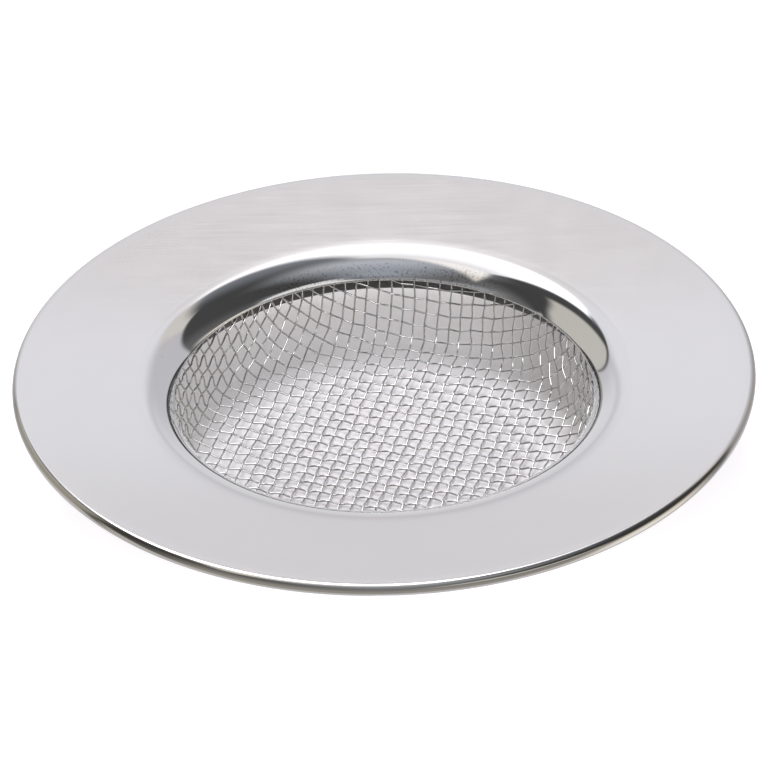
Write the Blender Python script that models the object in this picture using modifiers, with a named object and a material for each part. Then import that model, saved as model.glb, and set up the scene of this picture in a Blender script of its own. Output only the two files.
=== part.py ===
"""A drain hair catcher: a pressed steel rim, a clamp collar under it, and a basket woven from single wires.

Metres, +Z up. The origin is on the basket's axis, level with the underside of its floor.
"""

import math

import bmesh
import bpy
import numpy as np
from mathutils import Vector

# Rim: one round of sheet, with its outer edge rolled under and its middle pressed down into a throat
RIM_DIAMETER = 0.0750
OVERALL_HEIGHT = 0.0108
RIM_SHEET = 0.00035
EDGE_ROLL_RADIUS = 0.0006
FLANGE_DROP = 0.00054
SHOULDER_RADIUS = 0.0041
THROAT_RADIUS = 0.0212
THROAT_SLOPE = math.radians(60)

# Cloth: plain weave, each wire going over one neighbour and under the next
WIRE_DIAMETER = 0.00026
CROSSING_CLEARANCE = 0.00008
WARP_WIRES = 27
WEFT_WIRES = 25
WEAVE_TURN = math.radians(-16)

# Basket: the shape that the cloth is drawn into
FLOOR_INSET = 0.0026
FLOOR_SLOPE_WIDTH = 0.0096
FLOOR_RISE = 0.0009
CORNER_RADIUS = 0.0020
SEAT_CLEARANCE = 0.00010
WIRE_END_OVERLAP = 0.00015

# Collar: the band round the outside of the wire ends, flared to lie under the shoulder
COLLAR_SHEET = 0.00030
COLLAR_DEPTH_BELOW_LIP = 0.0016
COLLAR_FLARE_END = math.radians(12)

# How finely the curves are cut
TURN_STEPS = 56
SHOULDER_FACETS = 6
FLARE_FACETS = 4
ROLL_FACETS = 8
ROLL_FACET_ANGLE = math.tau / 11
CORNER_POINTS = 12
FLOOR_POINTS = 16
MERGE_DISTANCE = 0.00001
SLOPE_STEP = 0.00001

# How the net is solved: steps of Newton's method, and the miss, as a share, past which a cell is locked
NEWTON_STEPS = 40
LOCKED_SHARE = 0.01

COLLECTION = "drain_hair_catcher"
SATIN_STEEL = ("satin_steel", (0.62, 0.61, 0.61), 0.34)
COLLAR_STEEL = ("collar_steel", (0.42, 0.42, 0.43), 0.40)
WIRE_STEEL = ("wire_steel", (0.66, 0.66, 0.67), 0.22)

# Worked out from the sizes above
FLOOR_RADIUS = THROAT_RADIUS - FLOOR_INSET
FLOOR_FLAT_RADIUS = FLOOR_RADIUS - FLOOR_SLOPE_WIDTH
MESH_HALF = WIRE_DIAMETER + CROSSING_CLEARANCE / 2
FLANGE_EDGE_RADIUS = RIM_DIAMETER / 2 - EDGE_ROLL_RADIUS
FLANGE_SLOPE = math.atan2(FLANGE_DROP, FLANGE_EDGE_RADIUS - THROAT_RADIUS - SHOULDER_RADIUS)
SHOULDER_TOP_Z = OVERALL_HEIGHT - FLANGE_DROP
SHOULDER_CENTRE = (
    THROAT_RADIUS + SHOULDER_RADIUS * math.sin(THROAT_SLOPE),
    SHOULDER_TOP_Z - SHOULDER_RADIUS * math.cos(FLANGE_SLOPE),
)


def shoulder_point(radius, slope):
    """The point of an arc about the shoulder's centre where its tangent falls inwards at this slope."""
    r = SHOULDER_CENTRE[0] - radius * math.sin(slope)
    z = SHOULDER_CENTRE[1] + radius * math.cos(slope)
    return r, z


LIP_UNDERSIDE = shoulder_point(SHOULDER_RADIUS - RIM_SHEET, THROAT_SLOPE)
BASKET_TOP_RADIUS = LIP_UNDERSIDE[0] + SEAT_CLEARANCE + MESH_HALF
BASKET_TOP_Z = LIP_UNDERSIDE[1] + WIRE_END_OVERLAP
COLLAR_INNER_RADIUS = BASKET_TOP_RADIUS + MESH_HALF + SEAT_CLEARANCE


def clear_scene():
    """Removes every object, so that the script can be run again in the same file."""
    for old in list(bpy.data.objects):
        bpy.data.objects.remove(old, do_unlink=True)


def new_collection(name):
    collection = bpy.data.collections.get(name) or bpy.data.collections.new(name)
    if name not in bpy.context.scene.collection.children:
        bpy.context.scene.collection.children.link(collection)
    return collection


def steel(name, colour, roughness):
    """A bare steel with this colour and roughness."""
    material = bpy.data.materials.new(name)
    material.use_nodes = True
    shader = material.node_tree.nodes["Principled BSDF"]
    shader.inputs["Base Color"].default_value = (*colour, 1.0)
    shader.inputs["Metallic"].default_value = 1.0
    shader.inputs["Roughness"].default_value = roughness
    return material


def turned_sheet(name, profile, thickness, material, collection):
    """Turns an open profile of (r, z) points about Z and thickens it downwards into a sheet."""
    mesh = bpy.data.meshes.new(name)
    form = bmesh.new()
    corners = [form.verts.new((r, 0, z)) for r, z in profile]
    for start, end in zip(corners[:-1], corners[1:]):
        form.edges.new((start, end))
    form.to_mesh(mesh)
    form.free()
    mesh.materials.append(material)
    piece = bpy.data.objects.new(name, mesh)
    collection.objects.link(piece)

    screw = piece.modifiers.new("turn", "SCREW")
    screw.axis = "Z"
    screw.angle = math.tau
    screw.steps = TURN_STEPS
    screw.render_steps = TURN_STEPS
    screw.use_merge_vertices = True
    screw.merge_threshold = MERGE_DISTANCE
    screw.use_smooth_shade = True

    wall = piece.modifiers.new("sheet", "SOLIDIFY")
    wall.thickness = thickness
    wall.offset = -1
    wall.use_even_offset = True
    return piece


def shoulder_arc(radius, start_slope, end_slope, facets):
    """Points of an arc about the shoulder's centre, from one slope to the other."""
    slopes = [start_slope + (end_slope - start_slope) * k / facets for k in range(facets + 1)]
    return [shoulder_point(radius, slope) for slope in slopes]


def rim_profile():
    """The rim's visible side: up the throat, over the shoulder, out along the flange and round the roll."""
    throat = shoulder_arc(SHOULDER_RADIUS, THROAT_SLOPE, FLANGE_SLOPE, SHOULDER_FACETS)
    roll_centre_z = OVERALL_HEIGHT - EDGE_ROLL_RADIUS
    roll = []
    for k in range(ROLL_FACETS + 1):
        # the facets straddle straight down, so that the roll has a flat ring to rest on
        angle = math.pi / 2 - k * ROLL_FACET_ANGLE
        r = FLANGE_EDGE_RADIUS + EDGE_ROLL_RADIUS * math.cos(angle)
        z = roll_centre_z + EDGE_ROLL_RADIUS * math.sin(angle)
        roll.append((r, z))
    return throat + roll


def collar_profile():
    """The collar's upper side: up the band outside the wires, then flared out under the shoulder."""
    flare_radius = SHOULDER_RADIUS - RIM_SHEET - SEAT_CLEARANCE
    flare_start = math.asin((SHOULDER_CENTRE[0] - COLLAR_INNER_RADIUS) / flare_radius)
    foot = (COLLAR_INNER_RADIUS, LIP_UNDERSIDE[1] - COLLAR_DEPTH_BELOW_LIP)
    return [foot] + shoulder_arc(flare_radius, flare_start, COLLAR_FLARE_END, FLARE_FACETS)


class Bowl:
    """The middle surface of the cloth: a profile turned about Z, measured by the distance s along it."""

    def __init__(self, run_on):
        floor_u = np.linspace(0, 1, FLOOR_POINTS)
        floor_r = FLOOR_FLAT_RADIUS + (FLOOR_RADIUS - FLOOR_FLAT_RADIUS) * floor_u
        floor_z = MESH_HALF + FLOOR_RISE * floor_u**2
        floor_end = math.atan2(2 * FLOOR_RISE, FLOOR_RADIUS - FLOOR_FLAT_RADIUS)

        # the wall is the line from the basket's top that touches the corner's circle
        centre_r = FLOOR_RADIUS - CORNER_RADIUS * math.sin(floor_end)
        centre_z = MESH_HALF + FLOOR_RISE + CORNER_RADIUS * math.cos(floor_end)
        rise = math.atan2(BASKET_TOP_Z - centre_z, BASKET_TOP_RADIUS - centre_r)
        reach = math.hypot(BASKET_TOP_Z - centre_z, BASKET_TOP_RADIUS - centre_r)
        wall_angle = rise + math.asin(CORNER_RADIUS / reach)
        corner = np.linspace(floor_end, wall_angle, CORNER_POINTS)
        corner_r = centre_r + CORNER_RADIUS * np.sin(corner)
        corner_z = centre_z - CORNER_RADIUS * np.cos(corner)

        past_r = BASKET_TOP_RADIUS + run_on * math.cos(wall_angle)
        past_z = BASKET_TOP_Z + run_on * math.sin(wall_angle)
        self.r = np.concatenate([[0], floor_r, corner_r[1:], [BASKET_TOP_RADIUS, past_r]])
        self.z = np.concatenate([[MESH_HALF], floor_z, corner_z[1:], [BASKET_TOP_Z, past_z]])
        steps = np.hypot(np.diff(self.r), np.diff(self.z))
        self.s = np.concatenate([[0], np.cumsum(steps)])
        self.top = self.s[-2]
        self.corner = (self.s[FLOOR_POINTS], self.s[FLOOR_POINTS + CORNER_POINTS - 1])

    def point(self, s, turn):
        """The point at distance s up the profile, at this turn about Z."""
        r = np.interp(s, self.s, self.r)
        z = np.interp(s, self.s, self.z)
        return np.stack([r * np.cos(turn), r * np.sin(turn), z], axis=-1)

    def normal(self, s, turn):
        """The way out of the surface there, towards the inside of the basket."""
        ahead, behind = s + SLOPE_STEP, s - SLOPE_STEP
        dr = np.interp(ahead, self.s, self.r) - np.interp(behind, self.s, self.r)
        dz = np.interp(ahead, self.s, self.z) - np.interp(behind, self.s, self.z)
        length = np.hypot(dr, dz)
        return np.stack([-dz / length * np.cos(turn), -dz / length * np.sin(turn), dr / length], axis=-1)


def drape_quarter(bowl, warp_pitch, weft_pitch, count):
    """A quarter of the net as (s, turn) of each crossing, laid cell by cell like a fishing net.

    The two middle wires run straight up the bowl. Every other crossing is the point of the bowl that is
    one pitch from each of the two crossings before it, found by Newton's method a whole diagonal at a
    time. So the wires keep their length, and the cells shear into diamonds where the bowl draws them in.
    """
    s = np.zeros((count, count))
    turn = np.zeros((count, count))
    s[:, 0] = np.arange(count) * warp_pitch
    s[0, :] = np.arange(count) * weft_pitch
    turn[0, 1:] = math.pi / 2
    longest_step = weft_pitch / 2
    for diagonal in range(2, 2 * count - 1):
        i = np.arange(max(1, diagonal - count + 1), min(count, diagonal))
        j = diagonal - i
        before_i = bowl.point(s[i - 1, j], turn[i - 1, j])
        before_j = bowl.point(s[i, j - 1], turn[i, j - 1])
        first_s = s[i - 1, j] + s[i, j - 1] - s[i - 1, j - 1]
        first_turn = (turn[i - 1, j] + turn[i, j - 1]) / 2
        here_s, here_turn = first_s.copy(), first_turn.copy()
        for _ in range(NEWTON_STEPS):
            here = bowl.point(here_s, here_turn)
            up_wall = (bowl.point(here_s + SLOPE_STEP, here_turn) - here) / SLOPE_STEP
            about_z = np.stack([-here[:, 1], here[:, 0], np.zeros(len(here))], axis=-1)
            to_i, to_j = here - before_i, here - before_j
            miss_i = (to_i**2).sum(axis=1) - warp_pitch**2
            miss_j = (to_j**2).sum(axis=1) - weft_pitch**2
            a, b = 2 * (to_i * up_wall).sum(axis=1), 2 * (to_i * about_z).sum(axis=1)
            c, d = 2 * (to_j * up_wall).sum(axis=1), 2 * (to_j * about_z).sum(axis=1)
            area = a * d - b * c
            area = np.where(area == 0, 1, area)
            step_s = (d * miss_i - b * miss_j) / area
            step_turn = (a * miss_j - c * miss_i) / area
            damp = longest_step / np.maximum(np.abs(step_s), longest_step)
            here_s = here_s - damp * step_s
            here_turn = here_turn - damp * step_turn
        # cloth drawn past its locking angle stretches, so there the cell stays a parallelogram
        missed = np.abs(miss_i) + np.abs(miss_j) > LOCKED_SHARE * warp_pitch**2
        locked = missed | (here_s < first_s - warp_pitch)
        s[i, j] = np.where(locked, first_s, here_s)
        turn[i, j] = np.where(locked, first_turn, here_turn)
    return s, turn


def whole_net(bowl, warp_pitch, weft_pitch, half_warp, half_weft):
    """All four quarters, mirrored from one and turned to the cloth's direction."""
    count = max(half_warp, half_weft) + 3
    s, turn = drape_quarter(bowl, warp_pitch, weft_pitch, count)
    last = count - 1
    index = np.arange(-last, last + 1)
    i, j = np.meshgrid(np.abs(index), np.abs(index), indexing="ij")
    across, up = np.cos(turn[i, j]), np.sin(turn[i, j])
    across = across * np.where(index < 0, -1, 1)[:, None]
    up = up * np.where(index < 0, -1, 1)[None, :]
    return s[i, j], np.arctan2(up, across) + WEAVE_TURN, last


def wire_points(bowl, s, turn, sides):
    """The centre line of one wire: in and out past each wire it crosses, and cut off at the basket's top.

    s and turn are its crossings in order and sides is 1 or -1 for the side of the cloth it passes on.
    Between two crossings on the corner it gets one more point, so that it bends with the corner.
    """
    lift = (WIRE_DIAMETER + CROSSING_CLEARANCE) / 2
    inside = np.flatnonzero(s <= bowl.top)
    first, last = inside[0], inside[-1]
    stations = []
    for k in range(first - 1, last + 1):
        low, high = (k, k + 1)
        if k >= first:
            stations.append((s[k], turn[k], sides[k] * lift))
        middle_turn = turn[low] + 0.5 * math.remainder(turn[high] - turn[low], math.tau)
        middle_s = (s[low] + s[high]) / 2
        if k < first or k == last:
            # the cut end: where the run past the last crossing meets the top
            near, far = (high, low) if k < first else (low, high)
            share = (bowl.top - s[near]) / (s[far] - s[near])
            swing = math.remainder(turn[far] - turn[near], math.tau)
            stations.append((bowl.top, turn[near] + share * swing, sides[near] * lift * (1 - share)))
        elif bowl.corner[0] < middle_s < bowl.corner[1]:
            stations.append((middle_s, middle_turn, 0))
    station_s, station_turn, offset = (np.array(column) for column in zip(*stations))
    return bowl.point(station_s, station_turn) + bowl.normal(station_s, station_turn) * offset[:, None]


def wire(name, points, material, collection):
    """A wire of round section along these points, drawn with four sides."""
    curve = bpy.data.curves.new(name, "CURVE")
    curve.dimensions = "3D"
    curve.bevel_depth = WIRE_DIAMETER / 2
    curve.bevel_resolution = 0
    curve.use_fill_caps = True
    line = curve.splines.new("POLY")
    line.points.add(len(points) - 1)
    for spot, place in zip(line.points, points):
        spot.co = (*Vector(place), 1)
    curve.materials.append(material)
    piece = bpy.data.objects.new(name, curve)
    collection.objects.link(piece)
    return piece


def weave_basket(material, collection):
    """Lays every warp wire and every weft wire, over and under each other by turns."""
    half_warp, half_weft = WARP_WIRES // 2, WEFT_WIRES // 2
    length = Bowl(0).top
    warp_pitch = length / (half_warp + 0.5)
    weft_pitch = length / (half_weft + 0.5)
    bowl = Bowl(2 * max(warp_pitch, weft_pitch))
    s, turn, middle = whole_net(bowl, warp_pitch, weft_pitch, half_warp, half_weft)
    i, j = np.indices(s.shape)
    sides = np.where((i + j) % 2 == 0, 1, -1)
    for k in range(WARP_WIRES):
        row = middle - half_warp + k
        points = wire_points(bowl, s[row], turn[row], sides[row])
        wire(f"warp_wire_{k + 1:02d}", points, material, collection)
    for k in range(WEFT_WIRES):
        row = middle - half_weft + k
        points = wire_points(bowl, s[:, row], turn[:, row], -sides[:, row])
        wire(f"weft_wire_{k + 1:02d}", points, material, collection)


def main():
    clear_scene()
    parts = new_collection(COLLECTION)
    turned_sheet("rim_flange", rim_profile(), RIM_SHEET, steel(*SATIN_STEEL), parts)
    turned_sheet("clamp_collar", collar_profile(), COLLAR_SHEET, steel(*COLLAR_STEEL), parts)
    weave_basket(steel(*WIRE_STEEL), parts)


main()
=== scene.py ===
# %% [markdown]
# # A drain hair catcher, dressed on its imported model
#
# The object is a strainer for a bath or sink waste. It is three things: a pressed steel rim with a rolled
# edge, a clamp collar hidden under it, and a shallow basket drawn from a round of woven wire cloth.
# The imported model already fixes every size. This lesson makes the surfaces that the eye sees: a rim with
# a truly round roll, and a cloth with all its wires, each one bent over and under its neighbours.

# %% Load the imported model
import math

import bpy
import numpy as np
from mathutils import Matrix, Vector


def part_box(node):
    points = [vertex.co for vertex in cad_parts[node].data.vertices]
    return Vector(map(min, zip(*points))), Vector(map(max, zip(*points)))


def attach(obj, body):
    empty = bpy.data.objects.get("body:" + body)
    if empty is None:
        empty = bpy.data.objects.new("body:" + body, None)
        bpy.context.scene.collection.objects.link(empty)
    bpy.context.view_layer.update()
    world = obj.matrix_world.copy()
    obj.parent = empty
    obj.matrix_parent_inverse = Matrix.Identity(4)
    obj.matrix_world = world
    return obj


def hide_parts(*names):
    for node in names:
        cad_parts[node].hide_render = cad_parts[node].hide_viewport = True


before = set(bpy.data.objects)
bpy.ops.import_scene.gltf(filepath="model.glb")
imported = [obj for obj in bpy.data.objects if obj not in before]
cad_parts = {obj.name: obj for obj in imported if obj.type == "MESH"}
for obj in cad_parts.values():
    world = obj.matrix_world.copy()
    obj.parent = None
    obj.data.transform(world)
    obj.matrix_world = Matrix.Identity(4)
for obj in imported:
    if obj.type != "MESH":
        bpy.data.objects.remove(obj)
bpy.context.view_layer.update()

# %% [markdown]
# ## Sizes
#
# A maker's drawing of this strainer needs few numbers. Two come from the model's own box: how wide the
# rim is and how high the whole thing stands. The others are the bends of the sheet and the grade of the
# cloth. Each stands in the cell that first needs it, a length in metres and an angle in radians.

# %% How wide and how high
RIM_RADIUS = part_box("rim_flange")[1].x
RIM_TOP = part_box("rim_flange")[1].z
print("rim", round(RIM_RADIUS * 2000, 2), "mm across, top at", round(RIM_TOP * 1000, 2), "mm")

# %% [markdown]
# ## The camera
#
# The photograph looks down at the rim at about 34 degrees with a very long lens: the far half of the rim
# is almost as large as the near half. The camera leans by a degree and a half, so the right side of the
# rim stands a little higher in the picture. We place the camera by its own three axes instead of by
# angles, because then the lean, the height and the aim stay separate.

# %% Camera at the photograph's angle
PICTURE_SIDE = 768
CAMERA_DISTANCE = 1.2
CAMERA_ELEVATION = math.radians(34.1)
CAMERA_LEAN = math.radians(1.6)
PIXELS_PER_METRE = 9923.0
RIM_MIDDLE_PX = (383.7, 373.9)
SENSOR_WIDTH_MM = 36

forward = Vector((0, math.cos(CAMERA_ELEVATION), -math.sin(CAMERA_ELEVATION)))
level_up = Vector((0, math.sin(CAMERA_ELEVATION), math.cos(CAMERA_ELEVATION)))
level_right = Vector((1, 0, 0))
camera_right = math.cos(CAMERA_LEAN) * level_right - math.sin(CAMERA_LEAN) * level_up
camera_up = math.sin(CAMERA_LEAN) * level_right + math.cos(CAMERA_LEAN) * level_up

aim_right = (PICTURE_SIDE / 2 - RIM_MIDDLE_PX[0]) / PIXELS_PER_METRE
aim_up = (RIM_MIDDLE_PX[1] - PICTURE_SIDE / 2) / PIXELS_PER_METRE
rim_middle = Vector((0, 0, RIM_TOP))
camera_place = rim_middle + aim_right * camera_right + aim_up * camera_up - CAMERA_DISTANCE * forward

lens = bpy.data.cameras.new("long_lens")
lens.sensor_width = SENSOR_WIDTH_MM
lens.lens = PIXELS_PER_METRE * CAMERA_DISTANCE / PICTURE_SIDE * SENSOR_WIDTH_MM
lens.clip_start = CAMERA_DISTANCE / 100
lens.clip_end = CAMERA_DISTANCE * 100
camera = bpy.data.objects.new("camera", lens)
camera_axes = Matrix((camera_right, camera_up, -forward)).transposed().to_4x4()
camera.matrix_world = Matrix.Translation(camera_place) @ camera_axes
bpy.context.scene.collection.objects.link(camera)
bpy.context.scene.camera = camera
print("lens", round(lens.lens), "mm")

# %% [markdown]
# ## From a grid of points to a mesh
#
# Every surface here is a grid: rows run along a profile and columns run round the axis or round a wire.
# Index arrays join its points into four-sided faces, all at once. The grids of the rim and the collar
# close on themselves both ways, round the sheet's section and round the axis, so they have no edge.

# %% Grid helpers
def closed_grid_faces(rows, columns):
    """Corner numbers of the faces of a grid that closes both ways.

    Face (i, j) joins points (i, j), (i, j+1), (i+1, j+1) and (i+1, j), where the last row and column
    are followed by the first.
    """
    i, j = np.meshgrid(np.arange(rows), np.arange(columns), indexing="ij")
    after_i, after_j = (i + 1) % rows, (j + 1) % columns
    corners = [i * columns + j, i * columns + after_j, after_i * columns + after_j, after_i * columns + j]
    return np.stack(corners, axis=-1).reshape(-1, 4)


def mesh_piece(name, points, faces):
    """A mesh object from points (n, 3) and faces (m, 4), shaded smooth, at the origin."""
    mesh = bpy.data.meshes.new(name)
    mesh.vertices.add(len(points))
    mesh.vertices.foreach_set("co", np.ascontiguousarray(points, dtype=np.float32).ravel())
    mesh.loops.add(faces.size)
    mesh.loops.foreach_set("vertex_index", faces.ravel().astype(np.int32))
    mesh.polygons.add(len(faces))
    mesh.polygons.foreach_set("loop_start", np.arange(0, faces.size, faces.shape[1], dtype=np.int32))
    mesh.update(calc_edges=True)
    mesh.validate()
    mesh.shade_smooth()
    piece = bpy.data.objects.new(name, mesh)
    bpy.context.scene.collection.objects.link(piece)
    print(name, len(points), "points,", len(faces), "faces")
    return piece


print("a closed grid of 3 by 4 points has", len(closed_grid_faces(3, 4)), "faces")

# %% [markdown]
# ## The rim
#
# The real rim is one round of sheet, pressed and rolled on a lathe-like tool. Its section is therefore one
# line, the middle of the sheet, with half the sheet's thickness on each side and a rounded cut at each
# end. Turning this closed outline about Z gives the whole rim. A Screw modifier could turn it too, but
# arrays keep the section a closed loop, so no seam has to be merged afterwards.

# %% The section of a bent sheet
END_POINTS = 5


def sheet_section(line, thickness):
    """The closed outline of a sheet whose middle is this line.

    The outline is the line moved by half the thickness to its left, a half circle round its end, the line
    moved to its right and taken backwards, and a half circle round its start.
    """
    ahead = np.gradient(line, axis=0)
    ahead /= np.linalg.norm(ahead, axis=1)[:, None]
    left = np.stack([-ahead[:, 1], ahead[:, 0]], axis=-1)
    half = thickness / 2
    swing = np.linspace(0, np.pi, END_POINTS + 2)[1:-1, None]
    end_cap = line[-1] + half * (np.cos(swing) * left[-1] + np.sin(swing) * ahead[-1])
    start_cap = line[0] - half * (np.cos(swing) * left[0] + np.sin(swing) * ahead[0])
    return np.concatenate([line + half * left, end_cap, (line - half * left)[::-1], start_cap])


def turned(name, section, turns):
    """The section (r, z) carried round Z: point (i, j) is section point i at turn j."""
    turn = np.arange(turns) * 2 * np.pi / turns
    r, z = section[:, 0, None], section[:, 1, None]
    points = np.stack([r * np.cos(turn), r * np.sin(turn), z + 0 * turn], axis=-1)
    faces = closed_grid_faces(len(section), turns)
    return mesh_piece(name, points.reshape(-1, 3), faces)


print("a sheet's cut edge is rounded by", END_POINTS, "points")

# %% [markdown]
# The bends of pressed sheet are arcs. The shoulder is the main one: the throat turns outward round it, and
# so does the collar's flare beneath. Both arcs have one centre, so the two sheets keep the same distance
# all round the bend.

# %% Arcs about the shoulder
THROAT_RADIUS = 0.0212
THROAT_SLOPE = math.radians(60)
SHOULDER_RADIUS = 0.0041
FLANGE_DROP = 0.00054
EDGE_ROLL_RADIUS = 0.00066


def arc(centre, radius, start, end, count):
    """Points of an arc: angles are measured from the outward direction, anticlockwise."""
    angle = np.linspace(start, end, count)
    return np.stack([centre[0] + radius * np.cos(angle), centre[1] + radius * np.sin(angle)], axis=-1)


flange_edge_radius = RIM_RADIUS - EDGE_ROLL_RADIUS
flange_slope = math.atan2(FLANGE_DROP, flange_edge_radius - THROAT_RADIUS - SHOULDER_RADIUS)
shoulder_centre = np.array([
    THROAT_RADIUS + SHOULDER_RADIUS * math.sin(THROAT_SLOPE),
    RIM_TOP - FLANGE_DROP - SHOULDER_RADIUS * math.cos(flange_slope),
])
quarter = math.pi / 2


def shoulder_arc(radius, start_slope, end_slope, count):
    """An arc about the shoulder's centre, from the point with one slope to the point with the other."""
    return arc(shoulder_centre, radius, quarter + start_slope, quarter + end_slope, count)


print("the shoulder bends about a point", round(shoulder_centre[0] * 1000, 2), "mm from the axis")

# %% [markdown]
# Now the line of the rim, from the lip to the end of the roll. Throat and shoulder are one arc. Pressed
# sheet springs back a little, so a shoulder never stops sharply where the flange begins: a very wide arc
# that touches both lets the slope fade from five degrees to the flange's own. The flange is a straight run
# that falls about half a millimetre inward, and the roll is most of a circle.

# %% Make the rim
RIM_SHEET = 0.00035
EASE_RADIUS = 0.025
EASE_SLOPE = math.radians(5.2)
EDGE_ROLL_TURN = math.radians(262)
SHOULDER_POINTS = 26
EASE_POINTS = 12
FLANGE_POINTS = 12
ROLL_POINTS = 34
RIM_TURNS = 360

half_sheet = RIM_SHEET / 2
middle_radius = SHOULDER_RADIUS - half_sheet
shoulder_line = shoulder_arc(middle_radius, THROAT_SLOPE, EASE_SLOPE, SHOULDER_POINTS)
roll_centre = np.array([flange_edge_radius, RIM_TOP - EDGE_ROLL_RADIUS])
roll_end = quarter - EDGE_ROLL_TURN
roll_line = arc(roll_centre, EDGE_ROLL_RADIUS - half_sheet, quarter, roll_end, ROLL_POINTS)
ease_centre = shoulder_line[-1] - EASE_RADIUS * np.array([-math.sin(EASE_SLOPE), math.cos(EASE_SLOPE)])
to_roll = roll_line[0] - ease_centre
ease_end = math.atan2(to_roll[1], to_roll[0]) - math.asin(EASE_RADIUS / np.hypot(*to_roll))
ease_line = arc(ease_centre, EASE_RADIUS, quarter + EASE_SLOPE, quarter + ease_end, EASE_POINTS)[1:]
flange_share = np.linspace(0, 1, FLANGE_POINTS)[1:-1, None]
flange_line = ease_line[-1] * (1 - flange_share) + roll_line[0] * flange_share
rim_line = np.concatenate([shoulder_line, ease_line, flange_line, roll_line])
print("flange falls inward at", round(math.degrees(ease_end), 2), "degrees")
rim = turned("rim", sheet_section(rim_line, RIM_SHEET), RIM_TURNS)

# %% [markdown]
# ## The collar
#
# Under the rim a second ring holds the cloth. Only its lower band shows in the photograph, as a dark
# stripe behind the wire ends. It would be pressed from a strip and clamped under the shoulder. It is the
# same kind of shape as the rim, so the same two functions make it. Between the two rings is room for the
# cloth, half a cloth's thickness on each side of the cup that it follows.

# %% Make the collar
COLLAR_SHEET = 0.00030
COLLAR_DEPTH_BELOW_LIP = 0.0016
COLLAR_FLARE_END = math.radians(12)
SEAT_CLEARANCE = 0.00010
WIRE_END_OVERLAP = 0.00015
CLOTH_HALF = 0.00030
FLARE_POINTS = 14
BAND_POINTS = 6
COLLAR_TURNS = 240

lip_underside = shoulder_arc(SHOULDER_RADIUS - RIM_SHEET, THROAT_SLOPE, THROAT_SLOPE, 1)[0]
basket_top_radius = lip_underside[0] + SEAT_CLEARANCE + CLOTH_HALF
basket_top_z = lip_underside[1] + WIRE_END_OVERLAP
collar_inner = basket_top_radius + CLOTH_HALF + SEAT_CLEARANCE + COLLAR_SHEET / 2
flare_radius = SHOULDER_RADIUS - RIM_SHEET - SEAT_CLEARANCE - COLLAR_SHEET / 2
flare_start = math.asin((shoulder_centre[0] - collar_inner) / flare_radius)
flare_line = shoulder_arc(flare_radius, flare_start, COLLAR_FLARE_END, FLARE_POINTS)
band_low = np.array([collar_inner, lip_underside[1] - COLLAR_DEPTH_BELOW_LIP])
band_share = np.linspace(0, 1, BAND_POINTS)[:-1, None]
band_line = band_low * (1 - band_share) + flare_line[0] * band_share
collar_line = np.concatenate([band_line, flare_line])
collar = turned("collar", sheet_section(collar_line, COLLAR_SHEET), COLLAR_TURNS)

# %% [markdown]
# ## The cloth
#
# Woven wire cloth hardly stretches along its wires, but its square cells can shear into diamonds. So when
# a flat round of it is drawn into a cup, the crossings stay one pitch apart along both wires and the
# angle between the wires changes. Such a sheet can be laid like a fishing net: two middle wires run
# straight up the cup, and each further crossing is the one point of the cup that is a pitch away from
# its two neighbours. A whole diagonal of crossings is solved at a time.
#
# First comes the cup itself, as one profile from its middle up to the throat: a flat middle, a floor that
# curves up a little, a round corner and a straight wall that touches the corner. It runs on above the
# throat, so that a wire is still defined just past the place where it is cut off.

# %% The cup that the cloth is drawn into
FLOOR_MIDDLE_Z = 0.00030
FLOOR_INSET = 0.0026
FLOOR_SLOPE_WIDTH = 0.0096
FLOOR_RISE = 0.0009
CORNER_RADIUS = 0.0020
WEFT_PITCH = 0.00142
FLOOR_POINTS = 40
CORNER_POINTS = 40
RUN_ON_PITCHES = 3
SLOPE_STEP = 0.0001

floor_radius = THROAT_RADIUS - FLOOR_INSET
floor_flat = floor_radius - FLOOR_SLOPE_WIDTH
floor_share = np.linspace(0, 1, FLOOR_POINTS)
floor_r = floor_flat + (floor_radius - floor_flat) * floor_share
floor_z = FLOOR_MIDDLE_Z + FLOOR_RISE * floor_share**2
floor_end = math.atan2(2 * FLOOR_RISE, floor_radius - floor_flat)
corner_centre = np.array([
    floor_radius - CORNER_RADIUS * math.sin(floor_end),
    FLOOR_MIDDLE_Z + FLOOR_RISE + CORNER_RADIUS * math.cos(floor_end),
])
to_top = np.array([basket_top_radius, basket_top_z]) - corner_centre
wall_angle = math.atan2(to_top[1], to_top[0]) + math.asin(CORNER_RADIUS / np.hypot(*to_top))
corner_end = wall_angle - quarter
corner_line = arc(corner_centre, CORNER_RADIUS, floor_end - quarter, corner_end, CORNER_POINTS)
run_on = RUN_ON_PITCHES * WEFT_PITCH
above_top_r = basket_top_radius + run_on * math.cos(wall_angle)
above_top_z = basket_top_z + run_on * math.sin(wall_angle)
cup_r = np.concatenate([[0], floor_r, corner_line[1:, 0], [basket_top_radius, above_top_r]])
cup_z = np.concatenate([[FLOOR_MIDDLE_Z], floor_z, corner_line[1:, 1], [basket_top_z, above_top_z]])
cup_s = np.concatenate([[0], np.cumsum(np.hypot(np.diff(cup_r), np.diff(cup_z)))])
cup_top = cup_s[-2]


def on_cup(s, turn):
    """The point at distance s up the cup's profile and at this turn about Z."""
    r, z = np.interp(s, cup_s, cup_r), np.interp(s, cup_s, cup_z)
    return np.stack([r * np.cos(turn), r * np.sin(turn), z], axis=-1)


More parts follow.
